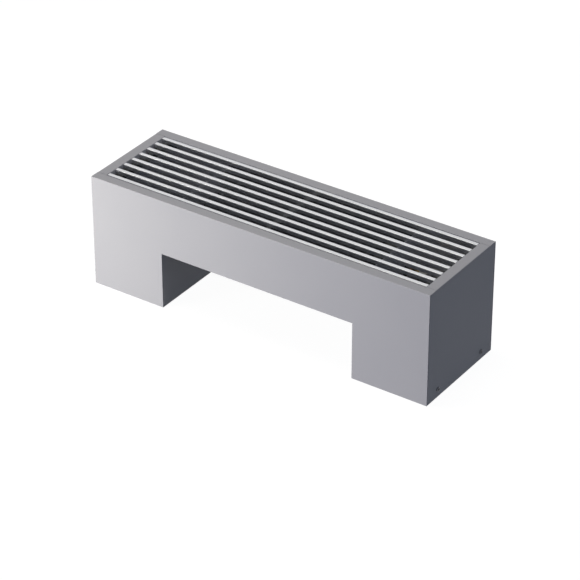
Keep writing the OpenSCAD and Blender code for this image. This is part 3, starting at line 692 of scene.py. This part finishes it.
def legPanel(node, side, ports):
    flangeY = halfDepth - casing["sheet"] - casing["seam"]
    height = legHeight * mm
    upright = Matrix.Rotation(radians(90), 4, "Z") @ Matrix.Rotation(radians(90), 4, "X")
    bm = flatSheet(2 * flangeY, height, (side * legX, 0, height / 2), upright, [])
    drawFlange(bm, lambda at: isAt(abs(at.y), flangeY), (side * casing["flange"], 0, 0))
    roundFolds(bm, casing["fold"], Vector((-side, 0, 0)))
    holes = [(y, shelfScrewZ, legs["screwHole"]) for y in studs["shelfY"]]
    if ports:
        holes += [(end * tubeY / mm, tubeZ / mm, legs["port"]) for end in sides]
    cuts = [turned(point(side * (legX / mm + legs["cutFrom"]), y, z), (side, 0, 0),
                   scaled([(0, radius), (legs["cutLength"], radius)]), legs["around"])
            for y, z, radius in holes]
    finishNode(bm, node, thickness=casing["sheet"], edge=casing["edge"], cuts=cuts)


legPanel("left_leg_panel", -1, False)
legPanel("right_leg_panel", 1, True)

# Sheet parts that keep the frame's shape, and how far their corners are broken, in millimetres
softened = {
    "left_floor_bracket": 0.3, "right_floor_bracket": 0.3, "front_air_guide": 0.3, "rear_air_guide": 0.3,
    "left_end_plate": 0.25, "right_end_plate": 0.25, "left_heater_shelf": 0.3, "right_heater_shelf": 0.3,
    "left_crossbar": 0.25, "middle_crossbar": 0.25, "right_crossbar": 0.25, "grille_pads": 0.4,
    "grille_rest_1": 0.3, "grille_rest_2": 0.3, "grille_rest_3": 0.3, "grille_rest_4": 0.3,
    "grille_rest_5": 0.3, "grille_rest_6": 0.3,
}
for node, edge in softened.items():
    softenedCopy(node, edge * mm)
print("sheet parts done")

# Heater tubes: hairpins drawn round their bends, and return bends with soldered sockets
tubes = {"count": 4, "radius": 8.0, "wall": 0.8, "around": 32, "bendSteps": 20, "socket": 8.95,
         "socketLength": 6.0, "taper": 1.4, "edge": 0.12, "merge": 0.002}


def tubeStart(bm, centre, radius):
    turn = Matrix.Rotation(radians(90), 4, "Y")
    verts = bmesh.ops.create_circle(bm, cap_ends=False, segments=tubes["around"], radius=radius,
                                    matrix=Matrix.Translation(centre) @ turn)["verts"]
    return ringEdges(bm, verts)


def tubeOn(bm, edges, shift, grow=1.0):
    drawn = bmesh.ops.extrude_edge_only(bm, edges=edges)["geom"]
    verts = [part for part in drawn if isinstance(part, bmesh.types.BMVert)]
    bmesh.ops.translate(bm, vec=shift, verts=verts)
    middle = sum((vert.co for vert in verts), Vector()) / len(verts)
    bmesh.ops.scale(bm, vec=(grow,) * 3, space=Matrix.Translation(-middle), verts=verts)
    return [part for part in drawn if isinstance(part, bmesh.types.BMEdge) and part.is_boundary]


def tubeRound(bm, edges, centre, axis, angle):
    verts = list({vert for edge in edges for vert in edge.verts})
    last = bmesh.ops.spin(bm, geom=verts + edges, cent=centre, axis=axis, angle=angle,
                          steps=tubes["bendSteps"], use_merge=False, use_duplicate=False)["geom_last"]
    return [part for part in last if isinstance(part, bmesh.types.BMEdge)]


def finishTube(bm, node):
    bmesh.ops.remove_doubles(bm, verts=bm.verts, dist=tubes["merge"] * mm)
    bmesh.ops.recalc_face_normals(bm, faces=bm.faces[:])
    finishNode(bm, node, thickness=tubes["wall"] * mm, edge=tubes["edge"] * mm, edgeSteps=1)


# The ends in the middle of the row are shorter than the two that run to the valves
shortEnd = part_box("hairpin_tube_2")[1].x
for number in range(1, tubes["count"] + 1):
    node = f"hairpin_tube_{number}"
    low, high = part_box(node)
    radius = tubes["radius"] * mm
    middleY = (low.y + high.y) / 2
    lowZ, highZ = low.z + radius, high.z - radius
    bendRadius = (highZ - lowZ) / 2
    bendX = low.x + bendRadius + radius
    bm = bmesh.new()
    edges = tubeStart(bm, (high.x, middleY, lowZ), radius)
    edges = tubeOn(bm, edges, (bendX - high.x, 0, 0))
    edges = tubeRound(bm, edges, (bendX, middleY, (lowZ + highZ) / 2), (0, 1, 0), pi)
    tubeOn(bm, edges, (shortEnd - bendX, 0, 0))
    finishTube(bm, node)

bendFillet = [(-1.2, 8.03), (-0.8, 8.3), (-0.3, 8.75), (0.1, 8.85), (0.1, 8.03)]
solder = bmesh.new()
for number in range(1, tubes["count"]):
    node = f"return_bend_{number}"
    low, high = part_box(node)
    radius, socket = tubes["radius"] * mm, tubes["socket"] * mm
    middleY, middleZ = (low.y + high.y) / 2, (low.z + high.z) / 2
    reach = (high.y - low.y) / 2 - socket
    mouth, bendX = low.x, low.x + tubes["socketLength"] * mm
    bm = bmesh.new()
    edges = tubeStart(bm, (mouth, middleY - reach, middleZ), socket)
    edges = tubeOn(bm, edges, (bendX - mouth - tubes["taper"] * mm, 0, 0))
    edges = tubeOn(bm, edges, (tubes["taper"] * mm, 0, 0), radius / socket)
    edges = tubeRound(bm, edges, (bendX, middleY, middleZ), (0, 0, 1), pi)
    edges = tubeOn(bm, edges, (-tubes["taper"] * mm, 0, 0), socket / radius)
    tubeOn(bm, edges, (mouth + tubes["taper"] * mm - bendX, 0, 0))
    finishTube(bm, node)
    for end in sides:
        turnRings(solder, (mouth, middleY + end * reach, middleZ), (1, 0, 0), scaled(bendFillet),
                  tubes["around"], closed=True)
finishPiece(solder, "bendSolder", "casing", "copper_tube", [])
print("heater tubes drawn")

# Rubber rings round the tubes, one in each port of the right leg panel
grommet = {"neck": 10.95, "bore": 8.05, "boreEdge": 0.4, "neckLength": 2.1,
           "lip": [(0, 8.7), (0, 12.2), (0.35, 12.8), (1.0, 13.0), (1.65, 12.8), (2.0, 12.2)]}
bm = bmesh.new()
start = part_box("tube_grommets")[0].x
lipDepth = grommet["lip"][-1][0]
far = 2 * lipDepth + grommet["neckLength"]
rings = [*grommet["lip"], (lipDepth, grommet["neck"]), (far - lipDepth, grommet["neck"]),
         *[(far - along, radius) for along, radius in reversed(grommet["lip"])],
         (far - grommet["boreEdge"], grommet["bore"]), (grommet["boreEdge"], grommet["bore"])]
for end in sides:
    turnRings(bm, (start, end * tubeY, tubeZ), (1, 0, 0), scaled(rings), 40, closed=True)
finishNode(bm, "tube_grommets")

# Valves over the right leg: both bodies, their unions, and the parts that turn, in millimetres
valves = {
    "barrel": 13.0, "branch": 11.0, "branchEnd": 28.0, "drop": 28.0, "hexFlats": 28.0, "hexHeight": 10.0,
    "top": 16.0, "port": 9.3, "portMouth": 10.2, "portDepth": 14.0, "passage": 6.0, "chamber": 8.5,
    "seat": -6.0, "neck": 11.0, "neckTop": 22.0, "around": 96, "boreAround": 40,
}
capLow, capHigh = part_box("valve_cap")
valveX = (capLow.x + capHigh.x) / 2
supplyAt = Vector((valveX, -tubeY, tubeZ))
returnAt = Vector((valveX, tubeY, tubeZ))
upward, alongX, towardsHeater = (0, 0, 1), (1, 0, 0), (-1, 0, 0)


# Rings of a six-sided length with both its faces chamfered
def hexRings(bottom, top, flats):
    ends, chamfer, corner = 0.49 * flats, 0.53 * flats, cornerRadius(flats)
    return [(at, radius, flats) for at, radius in (
        (bottom, ends), (bottom + 0.5, chamfer), (bottom + 1.3, corner),
        (top - 1.3, corner), (top - 0.5, chamfer), (top, ends))]


def valveBody(node, at, withNeck):
    barrel, branch, top = valves["barrel"], valves["branch"], valves["top"]
    port, passage, chamber = valves["port"], valves["passage"], valves["chamber"]
    bottom, branchEnd = -valves["drop"], valves["branchEnd"]
    hexTop, portTop = bottom + valves["hexHeight"], bottom + valves["portDepth"]
    outer = hexRings(bottom, hexTop, valves["hexFlats"])
    outer += [(hexTop, barrel - 1.4), (hexTop + 1.6, barrel - 1.4), (hexTop + 2.6, barrel - 0.5),
              (-11, barrel - 0.1), (-6, barrel), (7, barrel), (11, barrel - 0.15), (12, barrel - 0.6),
              (12.8, barrel - 0.9), (13.6, barrel - 0.9), (14.0, barrel - 0.3), (15.4, barrel - 0.3),
              (top, barrel - 0.9)]
    if withNeck:
        neck = valves["neck"]
        outer += [(top, neck - 0.8), (top + 0.7, neck - 0.8), *threadRings(top + 0.8, 21.4, neck, 0.5, 1.2),
                  (valves["neckTop"], neck - 0.9)]
    bm = turned(at, upward, scaled(outer), valves["around"])
    branchRings = [(0, branch), (12.2, branch), (12.6, branch + 1.6), (13.4, branch + 1.5),
                   (14.4, branch + 0.4), (14.8, branch - 0.7), (15.4, branch - 0.7),
                   *threadRings(15.6, 27.2, branch, 0.55, 1.6), (branchEnd, branch - 1.0)]
    joins = [turned(at, towardsHeater, scaled(branchRings), valves["around"])]
    portRings = [(bottom - 1, valves["portMouth"]), (bottom - 0.4, valves["portMouth"]),
                 (bottom + 0.6, port), *threadRings(bottom + 0.8, portTop - 0.6, port, 0.7, 1.8),
                 (portTop, passage), (0.5, passage)]
    chamberTop = valves["neckTop"] + 1 if withNeck else top + 1
    bores = [(upward, portRings), (upward, [(valves["seat"], chamber), (chamberTop, chamber)]),
             (towardsHeater, [(0, passage), (branchEnd + 1, passage)])]
    cuts = [turned(at, way, scaled(rings), valves["boreAround"]) for way, rings in bores]
    finishNode(bm, node, sharp=28, joins=joins, cuts=cuts)


valveBody("supply_valve_body", supplyAt, False)
valveBody("return_valve_body", returnAt, True)

# Unions: a soldered tail with its collar, and the nut over it
union = {"tail": 9.6, "collar": 11.0, "length": 30.0, "bore": 6.0, "socket": 12.0, "socketBore": 8.05,
         "nutFlats": 30.0, "nutLength": 18.0, "nutBack": 4.0, "nutThread": 11.05, "nutBore": 9.65,
         "bossRadius": 6.0, "bossAt": 6.0, "bossTop": 20.0, "ventSeat": 9.0, "ventBore": 3.05}
tailX = tailLow.x
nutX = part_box("supply_union_nut")[0].x


def unionTail(node, y, withVent):
    tail, collar, length = union["tail"], union["collar"], union["length"]
    at = Vector((tailX, y, tubeZ))
    outer = [(0, tail - 0.9), (0.5, tail - 0.2), (1.0, tail), (13.4, tail), (13.8, tail - 0.5),
             (15.0, tail - 0.5), (15.4, tail), (25, tail), (25, collar - 0.3), (25.3, collar),
             (length - 0.6, collar), (length, collar - 0.6)]
    bm = turned(at, alongX, scaled(outer), 48)
    joins, cuts = [], []
    if withVent:
        boss, bossTop = union["bossRadius"], union["bossTop"]
        foot = at + point(union["bossAt"], 0, 0)
        bossRings = [(0, boss), (9.4, boss), (10.6, boss - 0.4), (11.4, boss - 0.7),
                     (bossTop - 4.4, boss - 0.7), (bossTop - 4.0, boss), (bossTop - 0.5, boss),
                     (bossTop, boss - 0.5)]
        ventRings = [(union["ventSeat"], union["ventBore"]), (bossTop + 1, union["ventBore"])]
        joins = [turned(foot, upward, scaled(bossRings), 36)]
        cuts = [turned(foot, upward, scaled(ventRings), 28)]
    socket, socketBore, bore = union["socket"], union["socketBore"], union["bore"]
    boreRings = [(-1, 8.5), (0.1, 8.5), (0.5, socketBore), (socket, socketBore), (socket, bore),
                 (length - 0.5, bore), (length + 1, bore + 1)]
    cuts.insert(0, turned(at, alongX, scaled(boreRings), 40))
    finishNode(bm, node, sharp=28, joins=joins, cuts=cuts)


unionTail("supply_tail", -tubeY, False)
unionTail("return_tail", tubeY, True)

nutLength, nutBack = union["nutLength"], union["nutBack"]
nutThread, nutBore = union["nutThread"], union["nutBore"]
unionNutRings = [*hexRings(0, nutLength, union["nutFlats"]), (nutLength, 11.8),
                 (nutLength - 0.7, nutThread), (nutBack, nutThread), (nutBack, nutBore), (0.4, nutBore),
                 (0, 10.0)]
for node, y in (("supply_union_nut", -tubeY), ("return_union_nut", tubeY)):
    finishNode(turned(Vector((nutX, y, tubeZ)), alongX, scaled(unionNutRings), 60, closed=True), node,
               sharp=28)

# Fillets of hard solder where the tails meet the bare tube ends
tailFillet = [(-1.3, 8.03), (-0.9, 8.25), (-0.4, 8.6), (0.15, 8.9), (0.15, 8.03)]
bm = bmesh.new()
for end in sides:
    turnRings(bm, (tailX, end * tubeY, tubeZ), alongX, scaled(tailFillet), 36, closed=True)
finishPiece(bm, "tailSolder", "casing", "brass", [])

# Supply valve: threaded insert, spring pin with its disc, and the fluted hand cap
insertRings = [(7, 8.0), (7.5, 8.45), (16, 8.45), *hexRings(16, 22, 22), (22, 7.6), (22.4, 6.5),
               *threadRings(22.6, 29.2, 7.0, 0.45, 1.1), (30, 6.3), (30, 2.5), (29.6, 2.05), (7.3, 2.05),
               (7, 2.4)]
finishNode(turned(supplyAt, upward, scaled(insertRings), 60, closed=True), "valve_insert", sharp=28)

pinRings = [(-3.3, 6.9), (-3.0, 7.5), (-0.6, 7.5), (-0.3, 7.0), (-0.3, 2.0), (33.4, 2.0), (33.8, 1.8),
            (34, 1.3)]
finishNode(turned(supplyAt, upward, scaled(pinRings), 36), "valve_pin", sharp=28)

handCap = {"base": 22.3, "flutes": 16, "stepsPerFlute": 12, "markAt": (0, -9.0, 17.3),
           "mark": (1.2, 5.0, 1.2)}
capRings = [(17.1, 0.3), (17.1, 10.6), (17.3, 11.6), (18.0, 13.0), (17.95, 13.6), (17.6, 14.8),
            (16.9, 15.9, None, 0.2), (15.9, 16.6, None, 0.6), (14.6, 16.9, None, 0.9),
            (13.0, 16.95, None, 1.0), (2.2, 16.95, None, 1.0), (1.6, 16.7, None, 0.9),
            (1.2, 16.2, None, 0.5), (1.0, 16.0), (0.3, 16.0), (0, 15.7), (0, 8.4), (0.5, 7.6), (8.9, 7.6),
            (9.0, 7.4), (9.0, 2.3), (11.8, 2.3), (12, 0.3)]
capAt = supplyAt + point(0, 0, handCap["base"])
bm = turned(capAt, upward, scaled(capRings), handCap["flutes"] * handCap["stepsPerFlute"],
            fluteCount=handCap["flutes"])
mark = cuboid(capAt + point(*handCap["markAt"]), point(*handCap["mark"]))
finishNode(bm, "valve_cap", "handCap", sharp=40, cuts=[mark])

# Return valve: regulating spindle with its socket, and the slotted blind cap over it
spindleRings = [(-3.3, 6.9), (-3.0, 7.5), (-0.6, 7.5), (-0.3, 7.0), (-0.3, 4.0), (9, 4.0), (9, 8.0),
                (9.4, 8.45), (12.4, 8.45), (12.6, 7.9), (13.8, 7.9), (14.0, 8.45), (20.5, 8.45), (21, 7.9),
                (21, 3.4), (20.6, 2.887, 5), (16, 2.887, 5), (15.6, 0.3)]
finishNode(turned(returnAt, upward, scaled(spindleRings), 48), "return_spindle", sharp=28)

blindCap = {"base": 16.3, "height": 11.0, "ribs": 40, "stepsPerRib": 6, "slot": (40, 2.0, 2.8)}
blindRings = [(11, 0.3), (11, 11.6), (10.6, 12.4), (9.9, 12.9), (9.4, 13.0), (8.9, 13.45, None, 0.3),
              (1.9, 13.45, None, 0.35), (1.4, 13.0), (0.4, 13.0), (0, 12.6), (0, 11.6), (0.5, 11.1),
              (5.9, 11.1), (6, 0.3)]
blindAt = returnAt + point(0, 0, blindCap["base"])
bm = turned(blindAt, upward, scaled(blindRings), blindCap["ribs"] * blindCap["stepsPerRib"],
            fluteCount=blindCap["ribs"])
slot = cuboid(blindAt + point(0, 0, blindCap["height"]), point(*blindCap["slot"]))
finishNode(bm, "return_cap", "blindCap", sharp=40, cuts=[slot])

# Air vent screw in the return tail's boss: threaded shaft and a square for its key
ventScrew = {"square": (5.0, 5.0, 5.0), "squareAt": 22.5, "edge": 0.5}
ventRings = [(9.3, 0.3), (11.5, 2.5), *threadRings(12, 18.6, 3.0, 0.35, 1.0), (19, 2.9), (20.6, 2.9)]
ventAt = Vector((tailX + union["bossAt"] * mm, tubeY, tubeZ))
shaft = turned(ventAt, upward, scaled(ventRings), 28)
bm = cuboid(ventAt + point(0, 0, ventScrew["squareAt"]), point(*ventScrew["square"]))
roundEdges(bm, bm.edges[:], ventScrew["edge"] * mm, 2)
finishNode(bm, "bleed_screw", "ventScrew", sharp=28, joins=[shaft])
print("valves turned and assembled")


# Camera: the photograph's corner view, from the right front and above
view = {"azimuth": 34.378, "elevation": 31.902, "distance": 5.4555, "target": (0.00127, 0.0, 0.06073),
        "focalPixels": 2722.97, "framePixels": 580, "sensor": 36.0, "near": 0.1, "far": 60}


def addCamera():
    data = bpy.data.cameras.new("camera")
    data.sensor_width = view["sensor"]
    data.sensor_fit = "HORIZONTAL"
    data.lens = view["focalPixels"] / view["framePixels"] * view["sensor"]
    data.clip_start, data.clip_end = view["near"], view["far"]
    camera = bpy.data.objects.new("camera", data)
    scene.collection.objects.link(camera)
    azimuth, elevation = radians(view["azimuth"]), radians(view["elevation"])
    back = Vector((sin(azimuth) * cos(elevation), -cos(azimuth) * cos(elevation), sin(elevation)))
    camera.location = Vector(view["target"]) + back * view["distance"]
    camera.rotation_euler = (-back).to_track_quat("-Z", "Y").to_euler()
    scene.camera = camera


addCamera()

# Floor: seen as a mix of a pale matt surface, which keeps the object's shadow, and plain white.
# To other light it is a grey surface. Inside the two legs the camera sees that grey surface too: painted
# shade.
stage = {"size": 30.0, "under": 0.2 * mm, "floorGrey": (104, 105, 110), "pale": (0.9, 0.9, 0.9, 1),
         "seenWhite": 0.86, "whiteLevel": 1.11, "fill": 0.18, "fillTint": (0.79, 0.94, 1.23)}


def addFloor():
    bm = bmesh.new()
    bmesh.ops.create_grid(bm, x_segments=2, y_segments=2, size=stage["size"] / 2)
    bmesh.ops.translate(bm, vec=(0, 0, -stage["under"]), verts=bm.verts)
    floor = linkMesh(bm, "floor")
    material = bpy.data.materials.new("paleFloor")
    material.use_nodes = True
    tree = material.node_tree
    tree.nodes.clear()
    # The grey surface is also the painted shade on the floor inside the two legs
    matt = addNode(tree, "ShaderNodeBsdfDiffuse", {"Color": tone(*stage["floorGrey"])})
    pale = addNode(tree, "ShaderNodeBsdfDiffuse", {"Color": stage["pale"]})
    white = addNode(tree, "ShaderNodeEmission", {"Color": (1, 1, 1, 1), "Strength": stage["whiteLevel"]})
    seen = addNode(tree, "ShaderNodeMixShader", {"Fac": stage["seenWhite"]})
    choose = addNode(tree, "ShaderNodeMixShader")
    out = addNode(tree, "ShaderNodeOutputMaterial")
    tree.links.new(pale.outputs[0], seen.inputs[1])
    tree.links.new(white.outputs[0], seen.inputs[2])
    # Inside the legs the camera sees the grey surface: painted shade
    tree.links.new(addMath(tree, "MULTIPLY", seenDirectly(tree), outsidePaintedLegShade(tree)), choose.inputs[0])
    tree.links.new(matt.outputs[0], choose.inputs[1])
    tree.links.new(seen.outputs[0], choose.inputs[2])
    tree.links.new(choose.outputs[0], out.inputs["Surface"])
    floor.data.materials.append(material)


# 0 on the floor inside the two legs, where little light falls and the grey surface is shown as painted
# shade, else 1
def outsidePaintedLegShade(tree):
    inner, outer = legX, halfLength - casing["sheet"]
    spans = {"X": ((inner + outer) / 2, (outer - inner) / 2), "Y": (0, halfDepth - casing["sheet"])}
    axes = ownAxes(tree)
    insideX, insideY = [addMath(tree, "COMPARE", addMath(tree, "ABSOLUTE", axes[axis]), middle, reach)
                        for axis, (middle, reach) in spans.items()]
    return addMath(tree, "SUBTRACT", 1, addMath(tree, "MULTIPLY", insideX, insideY))


# 1 for rays that come from the camera, a mirror or glass, else 0
def seenDirectly(tree):
    path = addNode(tree, "ShaderNodeLightPath")
    mirrored = addMath(tree, "MAXIMUM", path.outputs["Is Camera Ray"], path.outputs["Is Glossy Ray"])
    return addMath(tree, "MAXIMUM", mirrored, path.outputs["Is Transmission Ray"])


def addWorld():
    world = bpy.data.worlds.new("studio")
    world.use_nodes = True
    scene.world = world
    tree = world.node_tree
    tree.nodes.clear()
    fill = addNode(tree, "ShaderNodeBackground",
                   {"Color": (*stage["fillTint"], 1), "Strength": stage["fill"]})
    white = addNode(tree, "ShaderNodeBackground", {"Color": (1, 1, 1, 1), "Strength": 1.0})
    choose = addNode(tree, "ShaderNodeMixShader")
    out = addNode(tree, "ShaderNodeOutputWorld")
    tree.links.new(seenDirectly(tree), choose.inputs[0])
    tree.links.new(fill.outputs[0], choose.inputs[1])
    tree.links.new(white.outputs[0], choose.inputs[2])
    tree.links.new(choose.outputs[0], out.inputs["Surface"])


addFloor()
addWorld()

# Lamps: a low soft key near the left front corner, a low front light, one overhead, one behind
lamps = {
    "key": {"at": (-0.85, -0.9, 0.17), "aim": (-0.25, -0.1, 0.12), "size": 0.4, "power": 9.4,
            "tint": (1.0, 0.975, 0.865)},
    "front": {"at": (-0.5, -4.5, 0.32), "aim": (-0.1, -0.1, 0.12), "size": 0.6, "power": 87.0,
              "tint": (0.965, 0.94, 1.0)},
    "top": {"at": (-0.25, -0.1, 2.2), "aim": (0, 0, 0.2), "size": 1.4, "power": 20.4,
            "tint": (1.0, 0.925, 0.795)},
    "back": {"at": (-0.15, 3.2, 0.5), "aim": (-0.1, 0, 0.12), "size": 1.0, "power": 30.0,
             "tint": (1.0, 1.0, 1.0)},
}


def addLamp(name, lamp):
    data = bpy.data.lights.new(name, "AREA")
    data.size = lamp["size"]
    data.energy = lamp["power"]
    data.color = lamp["tint"]
    lampObject = bpy.data.objects.new(name, data)
    scene.collection.objects.link(lampObject)
    lampObject.location = lamp["at"]
    lampObject.visible_camera = False
    aim = Vector(lamp["aim"]) - Vector(lamp["at"])
    lampObject.rotation_euler = aim.to_track_quat("-Z", "Y").to_euler()


for name, lamp in lamps.items():
    addLamp(name, lamp)
scene.view_settings.view_transform = "Standard"
print("camera, floor and lamps set")
